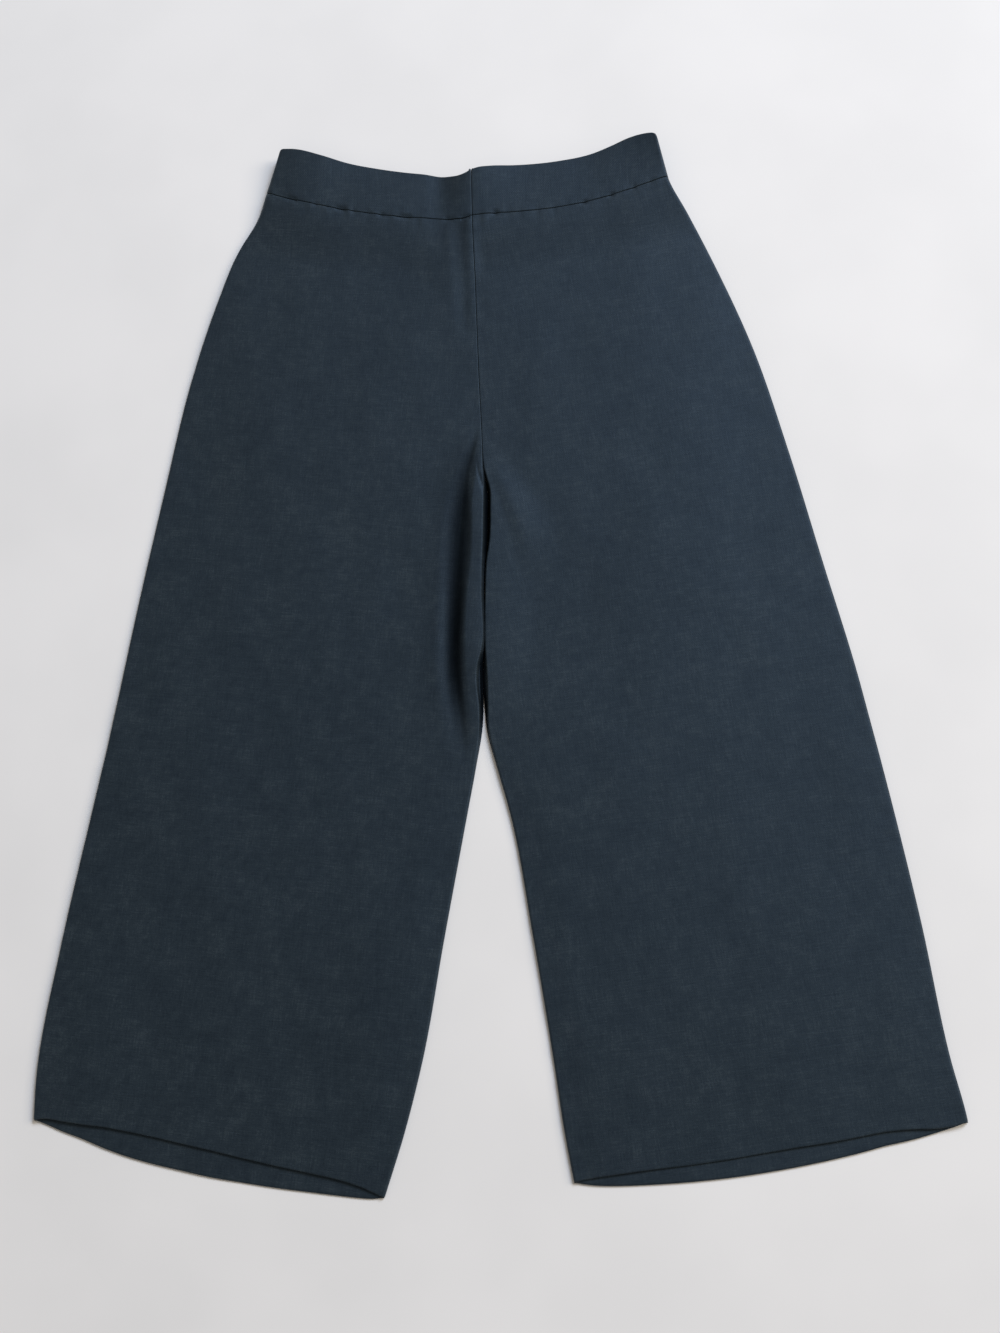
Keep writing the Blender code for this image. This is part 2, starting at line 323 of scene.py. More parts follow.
BANK_SHADOW = 0.22  # of the slope down into the trough
BANK_REACH = 40 * MM
BANK_DEPTH = 0.7  # depth of the trough's shadow from which its banks have all of theirs
SLIT_SHADOW = 0.94
SLIT_SHADOW_REACH = 2.6 * MM
LEFT_SHADOW_WIDER = 1.35  # times that reach on the left leg
SLIT_OPEN = 1.0 * MM  # from this width on the slit is at its darkest
SHUT_SHADOW = 0.6  # share of the shadow left where the slit is shut
SLIT_LIP = 0.7  # share of the gap that is all in shadow
SHADOW_TOP_Y, SHADOW_TOP_REACH = 0.592, 0.014
SHADOW_LOW_Y, SHADOW_LOW_REACH = 0.385, 0.035
OUTER_FACE = 1.6 * MM  # cloth above this height is a front's outer face
INNER_FACE = 0.6 * MM  # cloth between this height and that one is inside the slit
UNDERSIDE = 0.3 * MM
SLIT_INSIDE = 4 * MM  # how far in beside the slit the cloth is darkened

LEAN_REACH = 0.25  # share of a fold's right side that leans with its crest
BAND_CORNER = 3.0 * MM  # drop of the rounded corner at each end of the band
BAND_CORNER_SHARE = 0.04  # of the band's half, from its end
DROP_SHARE = 0.5  # of a crest's drop that is the seam's; as much again is the band's
DROP_REACH = 0.06

# Small waves of the cloth: their height, their size across and along, their seed, and how far they
# reach from the edge or seam they belong to
Waves = collections.namedtuple("Waves", "height across along seed reach", defaults=(None,))
SLOW_WAVES = Waves(0.75 * MM, 0.085, 0.16, 3)
SMALL_WAVES = Waves(0.22 * MM, 0.030, 0.055, 5)
BACK_WAVES = Waves(0.2 * MM, 0.06, 0.09, 31)
WAIST_PUCKERS = Waves(0.26 * MM, 0.0052, 0.020, 7, 0.016)
BAND_PUCKERS = WAIST_PUCKERS._replace(reach=0.012)
CENTRE_PUCKERS = Waves(0.22 * MM, 0.014, 0.0085, 9, 0.014 / 0.2)  # reach in shares of the width
SIDE_PUCKERS = Waves(0.22 * MM, 0.014, 0.011, 11, 0.020 / 0.3)  # likewise
PITS = Waves(1.5 * MM, 0.0050, 1, 13, 0.0040)
PIT_LEVEL = 0.15  # of the waves, above which there is a pit
CALM_REACH = 0.10  # distance below the waist over which the slow waves die out

RUCHE_PITCH = 8.8 * MM  # from one gather to the next
RUCHE_WANDER = Waves(0.0016, 0.030, 0.030, 21)
RUCHE_SKIP = Waves(1.6, 0.02, 1, 22)
RUCHE_CRUMPLE = Waves(0.35, 0.004, 0.03, 23)
RUCHE_SHARE = 0.75
RUCHE_BAND = 0.45 * MM  # height of the gathers in the back band
RUCHE_BACK = 0.4 * MM  # and below it
RUCHE_REACH = 0.055
CHANNELS = 3  # of elastic in the back band
CHANNEL_SHARPNESS = 0.35
CHANNEL_STEP = 0.2 * MM


def column(table, name):
    return np.array([getattr(row, name) for row in table], dtype=float)


def smooth(keys, values, at):
    """A smooth curve through the values at the keys, read at any number of places."""
    slopes = np.gradient(values, keys)
    start = np.clip(np.searchsorted(keys, at, side="right") - 1, 0, len(keys) - 2)
    span = keys[start + 1] - keys[start]
    part = np.clip((at - keys[start]) / span, 0, 1)
    rise = values[start] * (1 + 2 * part) * (1 - part) ** 2
    rise += values[start + 1] * part**2 * (3 - 2 * part)
    return rise + span * part * (1 - part) * (slopes[start] * (1 - part) - slopes[start + 1] * part)


def read(table, key, name, at):
    return smooth(column(table, key), column(table, name), at)


def fade(distance, reach):
    """1 at no distance, falling smoothly to 0 at the reach and staying there."""
    return 0.5 + 0.5 * np.cos(math.pi * np.clip(np.abs(distance) / reach, 0, 1))


def fade_past(distance, reach):
    """The same, but 1 for all distances below 0."""
    return fade(np.maximum(distance, 0), reach)


NOISE_CELLS = 256  # after which the waves repeat


def noise(x, y, x_size, y_size, seed):
    """Smooth random waves from about -1 to 1, whose bumps are about x_size by y_size."""
    table = np.random.default_rng(seed).uniform(-1, 1, (NOISE_CELLS + 1, NOISE_CELLS + 1))
    s, t = x / x_size + NOISE_CELLS / 2, y / y_size + NOISE_CELLS / 2
    i, j = np.floor(s).astype(int), np.floor(t).astype(int)
    s, t = s - i, t - j
    s, t = s * s * s * (s * (6 * s - 15) + 10), t * t * t * (t * (6 * t - 15) + 10)
    i, j = i % NOISE_CELLS, j % NOISE_CELLS
    near = table[i, j] * (1 - s) + table[i + 1, j] * s
    far = table[i, j + 1] * (1 - s) + table[i + 1, j + 1] * s
    return near * (1 - t) + far * t


def waves(kind, x, y, away=None):
    """Waves of one kind, dying out with the distance from their edge or seam."""
    height = kind.height * noise(x, y, kind.across, kind.along, kind.seed)
    return height if away is None else height * fade(away, kind.reach)


# ---------------------------------------------------------------------------------------------
# Where a piece of cloth lies
# ---------------------------------------------------------------------------------------------
def slit_line(y):
    """X of the line where the legs meet, and of the centre seam above it."""
    return read(OUTLINE, "y", "centre", y) + read(SLIT, "y", "shift", y)


def inner_edge(leg, along):
    """Y up a leg's inner edge, from its hem (0) to its waist (1)."""
    return leg.hem_inner_y + along * (WAIST_Y - leg.hem_inner_y)


def seamed(y):
    """0 where an inner edge is the fold of a thigh, 1 where it is the centre seam."""
    return 0.5 - 0.5 * np.cos(math.pi * np.clip((y - CROTCH_Y) / CROTCH_BLEND, 0, 1))


def side_height(down):
    """Height of a side seam at a distance below the waist."""
    return FOLD_HEIGHT + (WAIST_FOLD_HEIGHT - FOLD_HEIGHT) * fade(down, WAIST_FOLD_REACH)


def leg_plan(leg, out, along, hem):
    """X and Y on a leg: out from its inner edge to its side seam, along from its hem to its waist."""
    outer_y = leg.hem_outer_y + along * (leg.waist_outer_y - leg.hem_outer_y)
    inner_y = inner_edge(leg, along)
    outer_x = read(OUTLINE, "y", "outer_" + leg.side, outer_y)
    gap = SEAM_GAP if hem == "front" else SEAM_GAP * BACK_GAP
    parting = np.maximum(read(OUTLINE, "y", "part_" + leg.side, inner_y), 0) + gap
    if hem == "front":
        parting = parting + read(SLIT, "y", "width", inner_y)
    inner_x = slit_line(inner_y) + leg.sign * parting
    x = inner_x + out * (outer_x - inner_x)
    y = inner_y + out * (outer_y - inner_y)
    bow = read(HEMS, "out", hem + "_" + leg.side, out)
    y = y - bow * fade(along * LEG_REACH, HEM_BOW_REACH)
    bulge = np.sin(math.pi * np.clip(out, 0, 1)) ** (BOW_FULLNESS + leg.bow_skew * out)
    down = (1 - along) * LEG_REACH
    y = y - leg.waist_bow * bulge * fade(down, WAIST_BOW_REACH)
    return x, y - read(CRESTS, "x", "drop", x) * DROP_SHARE * fade(down, DROP_REACH)


def band_shift(leg, out, top):
    """How far a half of the band leans inwards, by the share of its height."""
    return leg.sign * leg.band_lean * out**2 * top


def band_plan(leg, out, top):
    """X and Y on a half of the band: out from the centre to its end, top from seam to top edge."""
    x, y = leg_plan(leg, out, np.ones_like(out), "front")
    drop = read(CRESTS, "x", "drop", x) * (1 - DROP_SHARE) * top
    near_end = np.clip((out - 1 + BAND_CORNER_SHARE) / BAND_CORNER_SHARE, 0, 1)
    band = BAND_HEIGHT - leg.end_drop * out**4 + read(CRESTS, "x", "rise", x)
    band = band - BAND_CORNER * near_end**2
    return x - band_shift(leg, out, top), y + 2 * SEAM_GAP + top * band - drop


def beside(rows, x, y, right_share=1.0):
    """How far x is to the right of a line up the leg, and the line's width on that side of it."""
    aside = x - read(rows, "y", "x", y)
    left, right = read(rows, "y", "left", y), read(rows, "y", "right", y)
    return aside, np.where(aside < 0, left, right * right_share)


def folds_of(leg, x, y, name, right_share=1.0):
    """The heights or the leans of all the folds on a leg, added up."""
    total = np.zeros_like(x)
    for side, rows in FOLDS.values():
        if side is leg:
            aside, width = beside(rows, x, y, right_share)
            total += read(rows, "y", name, y) * fade(aside, width)
    return total


def seam_pits(x, away):
    """Small uneven dimples that the waist seam pulls into the cloth beside it."""
    pits = noise(x, 0 * x, PITS.across, PITS.along, PITS.seed) - PIT_LEVEL
    return PITS.height * np.clip(pits, 0, 1) * fade(away, PITS.reach)


def slit_shadow(leg, x, y, z):
    """How dark the cloth is beside the line where the legs meet."""
    aside = np.abs(x - slit_line(y))
    width = read(SLIT, "y", "width", y)
    gap = width + read(OUTLINE, "y", "part_" + leg.side, y)
    deep = SLIT_SHADOW * (SHUT_SHADOW + (1 - SHUT_SHADOW) * np.clip(width / SLIT_OPEN, 0, 1))
    reach = SLIT_SHADOW_REACH * (LEFT_SHADOW_WIDER if leg is LEFT else 1.0)
    dark = deep * fade_past(aside - gap * SLIT_LIP, reach) * (z > UNDERSIDE)
    inside = (z < OUTER_FACE) & (aside < SLIT_INSIDE + gap)
    dark = np.where(inside, np.maximum(dark, deep * (z > INNER_FACE)), dark)
    top = fade_past(y - SHADOW_TOP_Y, SHADOW_TOP_REACH)
    return dark * top * fade_past(SHADOW_LOW_Y - y, SHADOW_LOW_REACH)


def trough_shadow(x, y, z):
    """How dark the outer face is in the deep fold beside the left inner thigh, and on its banks."""
    aside, reach = beside(TROUGH_SHADOW, x, y)
    depth = np.clip(read(TROUGH_SHADOW, "y", "depth", y), 0, 1)
    trough = depth * fade_past(np.abs(aside) - SHADOW_CORE, reach)
    bank = np.where(aside < 0, BANK_SHADOW * fade(aside, BANK_REACH), STRIP_SHADOW)
    return np.maximum(trough, bank * np.clip(depth / BANK_DEPTH, 0, 1)) * (z > OUTER_FACE)


def shadow(leg, points):
    """How much darker the cloth is in the folds about the crotch, from 0 to 1, at each point."""
    place = np.moveaxis(points, -1, 0)
    dark = slit_shadow(leg, *place)
    return np.maximum(dark, trough_shadow(*place)) if leg is LEFT else dark


def front_height(leg, out, along, x, y):
    """Height of a front panel's outer face, away from its rolled edges."""
    up = along * LEG_REACH
    down = LEG_REACH - up
    height = LEG_HEIGHT + (HIP_HEIGHT - LEG_HEIGHT) * fade(down, HIP_REACH)
    seam = read(CRESTS, "x", "seam", x)
    height = height + (seam - height) * fade(down, read(CRESTS, "x", "reach", x))
    middle = np.sin(math.pi * np.clip(out, 0, 1)) ** MOUTH_FULLNESS
    height = height + leg.mouth * middle * fade(up, MOUTH_REACH)
    height = height + folds_of(leg, x, y, "height")
    side_drop = SIDE_DROP * fade(1 - out, SIDE_DROP_REACH) * (1 - fade(down, SIDE_DROP_END))
    thigh_drop = THIGH_DROP * fade(out, THIGH_DROP_REACH)
    thigh_drop = thigh_drop * fade_past(y - THIGH_DROP_Y, THIGH_DROP_BLEND)
    height = height - side_drop - thigh_drop
    height = height + waves(SLOW_WAVES, x, y) * fade_past(CALM_REACH - down, CALM_REACH)
    height = height + waves(SMALL_WAVES, x, y)
    height = height + waves(WAIST_PUCKERS, x, y, down) + waves(CENTRE_PUCKERS, x, y, out)
    return height + waves(SIDE_PUCKERS, x, y, 1 - out) - seam_pits(x, down)


# ---------------------------------------------------------------------------------------------
# Making a sheet of cloth from its outer face
# ---------------------------------------------------------------------------------------------
CURL = 9  # columns round a rolled edge
TURN = np.linspace(0, math.pi / 2, CURL)
TAIL = 3  # columns where cloth has turned into a seam
TAIL_KEPT = 0.3  # share of that turn which goes on inside a fold
FOLD_STEPS = 5  # rows round a fold
SEAM_STEPS = 3  # rows round the turn into a waist seam
STEADY_ROW = 3  # rows in from such a seam, where the cloth's own direction is read
SHARP = math.radians(60)

# Offsets of the tail of cloth that has turned into a seam: inwards and down for a side seam
SIDE_TAIL = np.array([[2.0, 0.45], [1.0, 0.45], [0.35, 0.32]]) * MM
CENTRE_TAIL = np.array([[0.0, 2.0], [0.0, 1.2], [0.0, 0.5]]) * MM

# Rows up a front from its hem, down from its waist and up its band, in millimetres: they are close
# together round a fold and at a seam
HEM_ROWS = (0, 0.8, 2, 4, 7, 11, 15, 19, 23, 27, 30.5, 33.2, 34.4, 37)
WAIST_ROWS = (14, 11.5, 9.5, 7.8, 6.3, 5, 3.9, 2.9, 2.0, 1.2, 0.6, 0)
BAND_ROWS = (0, 0.6, 1.3, 2.2, 3.4, 5, *range(7, 43, 2), 43.6, 44.4, 45)
FIRST_ROW, ROW_STEP, LAST_GAP = 40, 4.0, 1.5
BACK_HEM_ROWS = 0.05  # up to here, in metres, a back has a front's rows
BACK_FIRST_ROW, BACK_ROW_STEP, BACK_LAST_GAP = 0.056, 0.007, 0.06
GATHER_REACH, GATHER_ROWS = 0.054, 20  # rows of a back under its gathers
FOLDED_SHARE = 0.085  # of a front's width, from its inner edge, that the deep folds take up
FOLD_COLUMNS, FRONT_COLUMNS, BAND_COLUMNS, BACK_COLUMNS = 48, 98, 104, 96
BAND_BACK_ROWS, BAND_BACK_COLUMNS = 24, 260  # the columns are for each half


def unit(v):
    return v / np.maximum(np.linalg.norm(v, axis=-1, keepdims=True), 1e-12)


def normals(points):
    """Unit normals of a grid whose columns run along its second axis."""
    across = np.empty_like(points)
    across[:, 1:-1] = points[:, 2:] - points[:, :-2]
    across[:, 0], across[:, -1] = points[:, 1] - points[:, 0], points[:, -1] - points[:, -2]
    along = np.empty_like(points)
    along[1:-1] = points[2:] - points[:-2]
    along[0], along[-1] = points[1] - points[0], points[-1] - points[-2]
    return unit(np.cross(unit(across), unit(along)))


def fold_under(points, facing, rows, radius):
    """Carries a grid on from its first row, round a fold and back up inside as far as rows."""
    outside = points[: rows + 1]
    inside = outside - 2 * radius * facing[: rows + 1]
    for place in range(TAIL):
        for tail, start in ((place, TAIL), (-1 - place, -1 - TAIL)):
            inside[:, tail] = inside[:, start] + TAIL_KEPT * (outside[:, tail] - outside[:, start])
    centre, half = (points[0] + inside[0]) / 2, (points[0] - inside[0]) / 2
    away = unit(points[0] - points[1]) * np.linalg.norm(half, axis=-1, keepdims=True)
    turns = [math.pi * step / (FOLD_STEPS + 1) for step in range(FOLD_STEPS, 0, -1)]
    fold = [centre + half * math.cos(turn) + away * math.sin(turn) for turn in turns]
    return np.concatenate([inside[:0:-1], np.array(fold), points])


def quads(grid):
    corners = (grid[:-1, :-1], grid[:-1, 1:], grid[1:, 1:], grid[1:, :-1])
    return np.stack(corners, axis=-1).reshape(-1, 4)


def make_cloth(name, points, facing, material, dark=None):
    """A closed sheet of cloth, with the grid as its outer face, which faces up (+1) or down (-1).

    dark is the shadow at each point of the grid, where there is any."""
    rows, width = points.shape[:2]
    inner = points - CLOTH * normals(points) * facing
    verts = np.concatenate([points.reshape(-1, 3), inner.reshape(-1, 3)])
    verts = verts - np.array([*MIDDLE, 0])
    index = np.arange(rows * width).reshape(rows, width)
    other = index + rows * width
    rim = np.concatenate([index[0], index[1:, -1], index[-1, -2::-1], index[-2:0:-1, 0]])
    after = np.roll(rim, -1)
    edge = np.stack([after, rim, rim + rows * width, after + rows * width], axis=-1)
    faces = np.concatenate([quads(index), quads(other)[:, ::-1], edge])
    if facing < 0:
        faces = faces[:, ::-1]
    mesh = bpy.data.meshes.new(name)
    mesh.vertices.add(len(verts))
    mesh.vertices.foreach_set("co", verts.astype(np.float32).ravel())
    mesh.loops.add(len(faces) * 4)
    mesh.loops.foreach_set("vertex_index", faces.astype(np.int32).ravel())
    mesh.polygons.add(len(faces))
    mesh.polygons.foreach_set("loop_start", np.arange(0, len(faces) * 4, 4, dtype=np.int32))
    mesh.update(calc_edges=True)
    mesh.validate()
    if dark is not None:
        depths = mesh.attributes.new("shadow", "FLOAT", "POINT")
        depths.data.foreach_set("value", np.tile(dark.astype(np.float32).ravel(), 2))
    mesh.materials.append(material)
    mesh.shade_smooth()
    mesh.set_sharp_from_angle(angle=SHARP)
    piece = bpy.data.objects.new(name, mesh)
    bpy.context.scene.collection.objects.link(piece)
    return piece


def columns(near, far):
    """Shares of a width from the inner edge: near ones over the folds, and far ones past them."""
    folded = FOLDED_SHARE if near else 0.0
    over = np.linspace(0, folded, near, endpoint=False)
    return np.concatenate([over, np.linspace(folded, 1, far)])


def panel_shares(plan, along, middle, rolls):
    """Shares of a piece's width by row: inner tail and curl, the middle, outer curl and tail."""
    inner_roll, outer_roll = rolls
    ends = zip(plan(0 * along, along), plan(0 * along + 1, along))
    width = np.hypot(*(end - start for start, end in ends))
    curl_in = inner_roll * (1 - np.cos(TURN))[None] / width
    curl_out = 1 - outer_roll * (1 - np.cos(TURN[::-1]))[None] / width
    first, last = curl_in[:, -1:], curl_out[:, :1]
    body = first + (last - first) * middle[None, 1:-1]
    tails = [curl_in[:, :1]] * TAIL, [curl_out[:, -1:]] * TAIL
    return np.concatenate([*tails[0], curl_in, body, curl_out, *tails[1]], axis=1)


def panel_surface(leg, plan, height, along, middle, rolls, folds, facing=1):
    """The outer face of a piece, its columns running to the right.

    plan gives X and Y, and height gives Z of the face, of its inner edge and of its outer one.
    rolls is the width of the inner and outer curl, and folds says by row how far the inner edge is
    a fold (1) and not a centre seam (0). facing is -1 where the outer face is the underside."""
    out = panel_shares(plan, along, middle, rolls)
    rise = np.ones_like(out)
    rise[:, TAIL : TAIL + CURL] = np.sin(TURN)
    rise[:, -TAIL - CURL : -TAIL] = np.sin(TURN[::-1])
    rise[:, :TAIL] = rise[:, -TAIL:] = 0
    along = along + 0 * out
    x, y = plan(out, along)
    face, inner, outer = height(out, along, x, y)
    edge = np.where(out < 0.5, inner, outer)
    z = edge + (face - edge) * rise
    points = np.stack([x, y, z], axis=-1)
    ahead = unit(points[:, -1, :2] - points[:, 0, :2])
    for place in range(TAIL):
        shift = SIDE_TAIL[place] * folds + CENTRE_TAIL[place] * (1 - folds)
        points[:, place, :2] += shift[:, :1] * ahead
        points[:, place, 2] -= facing * shift[:, 1]
        points[:, -1 - place, :2] -= SIDE_TAIL[place, 0] * ahead
        points[:, -1 - place, 2] -= facing * SIDE_TAIL[place, 1]
    return points if leg.sign > 0 else points[:, ::-1]


def turn_down(points, last=True):
    """Turns the last or the first row of a piece down into its seam."""
    order = points if last else points[::-1]
    up = unit(order[-1] - order[-1 - STEADY_ROW])
    facing = normals(points)[-1 - STEADY_ROW if last else STEADY_ROW]
    base = order[-1] - up * SEAM_RADIUS
    rows = []
    for angle in np.linspace(0, math.pi / 2, SEAM_STEPS + 1)[1:]:
        ahead, down = math.sin(angle), 1 - math.cos(angle)
        rows.append(base + up * SEAM_RADIUS * ahead - facing * SEAM_RADIUS * down)
    rows += [rows[-1] - facing * depth for depth in SEAM_DEPTHS]
    made = np.concatenate([order[:-1], np.array(rows)])
    return made if last else made[::-1]


def front_rows():
    """Distances up a front from its hem to its waist."""
    top = [LEG_REACH / MM - down for down in WAIST_ROWS]
    body = np.arange(FIRST_ROW, top[0] - LAST_GAP, ROW_STEP)
    return np.concatenate([HEM_ROWS, body, top]) * MM


def back_rows():
    """The same for a back, which has fewer."""
    hem = front_rows()
    body = np.arange(BACK_FIRST_ROW, LEG_REACH - BACK_LAST_GAP, BACK_ROW_STEP)
    top = np.linspace(LEG_REACH - GATHER_REACH, LEG_REACH, GATHER_ROWS)
    return np.concatenate([hem[hem < BACK_HEM_ROWS], body, top])


def hem_row(rows):
    """The last row of a hem's turned-up layer."""
    return int(np.searchsorted(rows, HEM_DEPTH)) - 1


def make_front(leg, material):
    rows = front_rows()
    up = rows[:, None]
    along = up / LEG_REACH

    def plan(out, along):
        return leg_plan(leg, out, along, "front")

    def height(out, along, x, y):
        face = front_height(leg, out, along, x, y)
        inner = FOLD_HEIGHT + (face - SEAM_RADIUS - FOLD_HEIGHT) * seamed(y)
        return face, inner, side_height(LEG_REACH * (1 - along))

    joined = seamed(inner_edge(leg, along))
    inner_roll = THIGH_ROLL + (SEAM_RADIUS - THIGH_ROLL) * joined
    outer_roll = SIDE_ROLL + (leg.waist_roll - SIDE_ROLL) * fade(LEG_REACH - up, WAIST_ROLL_REACH)
    middle = columns(FOLD_COLUMNS, FRONT_COLUMNS)
    points = panel_surface(leg, plan, height, along, middle, (inner_roll, outer_roll), 1 - joined)
    points[..., 0] += folds_of(leg, points[..., 0], points[..., 1], "lean", LEAN_REACH)
    points = turn_down(points)
    points = fold_under(points, normals(points), hem_row(rows), FOLD_RADIUS)
    return make_cloth("front_" + leg.side + "_cloth", points, 1, material, shadow(leg, points))


def make_band_front(leg, material):
    top = np.array(BAND_ROWS)[:, None] / BAND_ROWS[-1]

    def plan(out, top):
        return band_plan(leg, out, top)

    def height(out, top, x, y):
        seam_x = x + band_shift(leg, out, top)
        seam, crest = read(CRESTS, "x", "seam", seam_x), read(CRESTS, "x", "top", seam_x)
        up = top * BAND_HEIGHT
        face = seam + (crest - seam) * top
        face = face + waves(BAND_PUCKERS, x, y, up) + waves(SMALL_WAVES, x, y) - seam_pits(x, up)
        return face, face - SEAM_RADIUS, WAIST_FOLD_HEIGHT

    rolls = (SEAM_RADIUS, leg.waist_roll)
    middle = columns(0, BAND_COLUMNS)
    points = panel_surface(leg, plan, height, top, middle, rolls, np.zeros_like(top))
    points = turn_down(points, last=False)
    flipped = points[::-1]
    flipped = fold_under(flipped, -normals(flipped), len(top) - 2, FOLD_RADIUS)
    return make_cloth("waistband_front_" + leg.side + "_cloth", flipped[::-1], 1, material)


def ruche(x, y):
    """The gathers that the elastic draws up, from about -1 to 1."""
    turns = (x + waves(RUCHE_WANDER, x, y)) / RUCHE_PITCH
    phase = 2 * math.pi * turns + waves(RUCHE_SKIP, x, y * 0)
    return RUCHE_SHARE * np.sin(phase) + waves(RUCHE_CRUMPLE, x, y)


def make_back(leg, material):
    rows = back_rows()
    along = rows[:, None] / LEG_REACH

    def plan(out, along):
        return leg_plan(leg, out, along, "back")

    def height(out, along, x, y):
        down = LEG_REACH * (1 - along)
        face = BACK_HEIGHT + waves(BACK_WAVES, x, y)
        face = face + (BACK_LIFT + RUCHE_BACK * ruche(x, y)) * fade(down, RUCHE_REACH)
        inner = FOLD_HEIGHT - 2 * SEAM_GAP + (face + SEAM_RADIUS - FOLD_HEIGHT) * seamed(y)
        return face, inner, side_height(down) - 2 * SEAM_GAP

    folds = 1 - seamed(inner_edge(leg, along))
    rolls = (BACK_ROLL * folds + SEAM_RADIUS * (1 - folds), BACK_ROLL)
    middle = columns(0, BACK_COLUMNS)
    points = panel_surface(leg, plan, height, along, middle, rolls, folds, facing=-1)
    points = fold_under(points, -normals(points), hem_row(rows), FOLD_RADIUS)
    return make_cloth("back_" + leg.side + "_cloth", points, -1, material, shadow(leg, points))


def make_band_back(material):
    """The gathered back waistband, one sheet folded over the elastic, from side to side."""
    top = np.linspace(0, 1, BAND_BACK_ROWS)[:, None]
    out = np.linspace(0, 1, BAND_BACK_COLUMNS) + 0 * top
    (left_x, left_y), (right_x, right_y) = (band_plan(leg, out, top) for leg in LEGS)
    x = np.concatenate([left_x[:, :0:-1], right_x], axis=1)
    y = np.concatenate([left_y[:, :0:-1], right_y], axis=1)
    channel = np.abs(np.sin(math.pi * CHANNELS * top)) ** CHANNEL_SHARPNESS
    z = BAND_BACK_HEIGHT + RUCHE_BAND * ruche(x, y) * channel + CHANNEL_STEP * (1 - channel)
    flipped = np.stack([x, y, z], axis=-1)[::-1]
    flipped = fold_under(flipped, normals(flipped), len(top) - 1, ELASTIC_RADIUS)
    return make_cloth("waistband_back_cloth", flipped[::-1], -1, material)


# ---------------------------------------------------------------------------------------------
# Materials
# ---------------------------------------------------------------------------------------------
class Wire:
    """A shader value. Operators on it add Math nodes."""

    def __init__(self, shop, socket):
        self.shop, self.socket = shop, socket

    def _math(self, operation, *values):
        return self.shop.make("ShaderNodeMath", {"operation": operation}, *values)

    def __add__(self, other):
        return self._math("ADD", self, other)

    def __sub__(self, other):
        return self._math("SUBTRACT", self, other)

    def __rsub__(self, other):
        return self._math("SUBTRACT", other, self)

    def __mul__(self, other):
        return self._math("MULTIPLY", self, other)

    def __truediv__(self, other):
        return self._math("DIVIDE", self, other)

    def __rtruediv__(self, other):
        return self._math("DIVIDE", other, self)

    __radd__, __rmul__ = __add__, __mul__

    def floor(self):
        return self._math("FLOOR", self)

    def sine(self):
        return self._math("SINE", self)

    def size(self):
        return self._math("ABSOLUTE", self)

    def biggest(self, other):
        return self._math("MAXIMUM", self, other)

    def between(self, low, high):
        """0 below low, 1 above high, and a smooth step from one to the other."""
        settings = {"interpolation_type": "SMOOTHSTEP"}
        return self.shop.make("ShaderNodeMapRange", settings, self, low, high, 0.0, 1.0)


class Shop:
    """Makes the nodes of one material."""

    def __init__(self, name):
        self.material = bpy.data.materials.new(name)
        self.material.use_nodes = True
        self.tree = self.material.node_tree
        self.shader = self.tree.nodes["Principled BSDF"]

    def plug(self, socket, value):
        """Links a wire to a socket, or gives the socket a plain value."""
        if isinstance(value, Wire):
            self.tree.links.new(value.socket, socket)
        else:
            socket.default_value = value

    def make(self, kind, settings, *values, output=0, **named):
        node = self.tree.nodes.new(kind)
        for key, value in settings.items():
            setattr(node, key, value)
        for key, value in [*enumerate(values), *named.items()]:
            self.plug(node.inputs[key.replace("_", " ") if isinstance(key, str) else key], value)
        return Wire(self, node.outputs[output])

    def coordinates(self):
        return self.make("ShaderNodeTexCoord", {}, output="Object")

    def join(self, x, y, z):
        return self.make("ShaderNodeCombineXYZ", {}, x, y, z)

    def split(self, vector):
        """The X and Y of a vector."""
        outputs = self.make("ShaderNodeSeparateXYZ", {}, vector).socket.node.outputs
        return Wire(self, outputs["X"]), Wire(self, outputs["Y"])

    def noise(self, place, scale, detail=2.0, rough=0.5):
        values = {"Vector": place, "Scale": scale, "Detail": detail, "Roughness": rough}
        return self.make("ShaderNodeTexNoise", {"noise_dimensions": "3D"}, **values)

    def blend(self, factor, low, high):
        """A colour that goes from low to high."""
        node = self.make("ShaderNodeMix", {"data_type": "RGBA"}, factor).socket.node
        for socket, colour in zip([s for s in node.inputs if s.type == "RGBA"], (low, high)):
            self.plug(socket, colour)
        return Wire(self, next(s for s in node.outputs if s.type == "RGBA"))

    def feed(self, name, wire):
        self.plug(self.shader.inputs[name], wire)

    def fix(self, **values):
        for name, value in values.items():
            self.feed(name.replace("_", " "), value)

    def paint_shade(self, factor):
        """Mixes in painted shade, a dull near black, where the factor is 1."""
        values = {"Base Color": PAINTED_SHADE, "Roughness": 1.0, "Specular IOR Level": 0.0}
        deep = self.make("ShaderNodeBsdfPrincipled", {}, **values)
        lit = Wire(self, self.shader.outputs[0])
        mixed = self.make("ShaderNodeMixShader", {}, factor, lit, deep)
        self.plug(self.tree.nodes["Material Output"].inputs["Surface"], mixed)


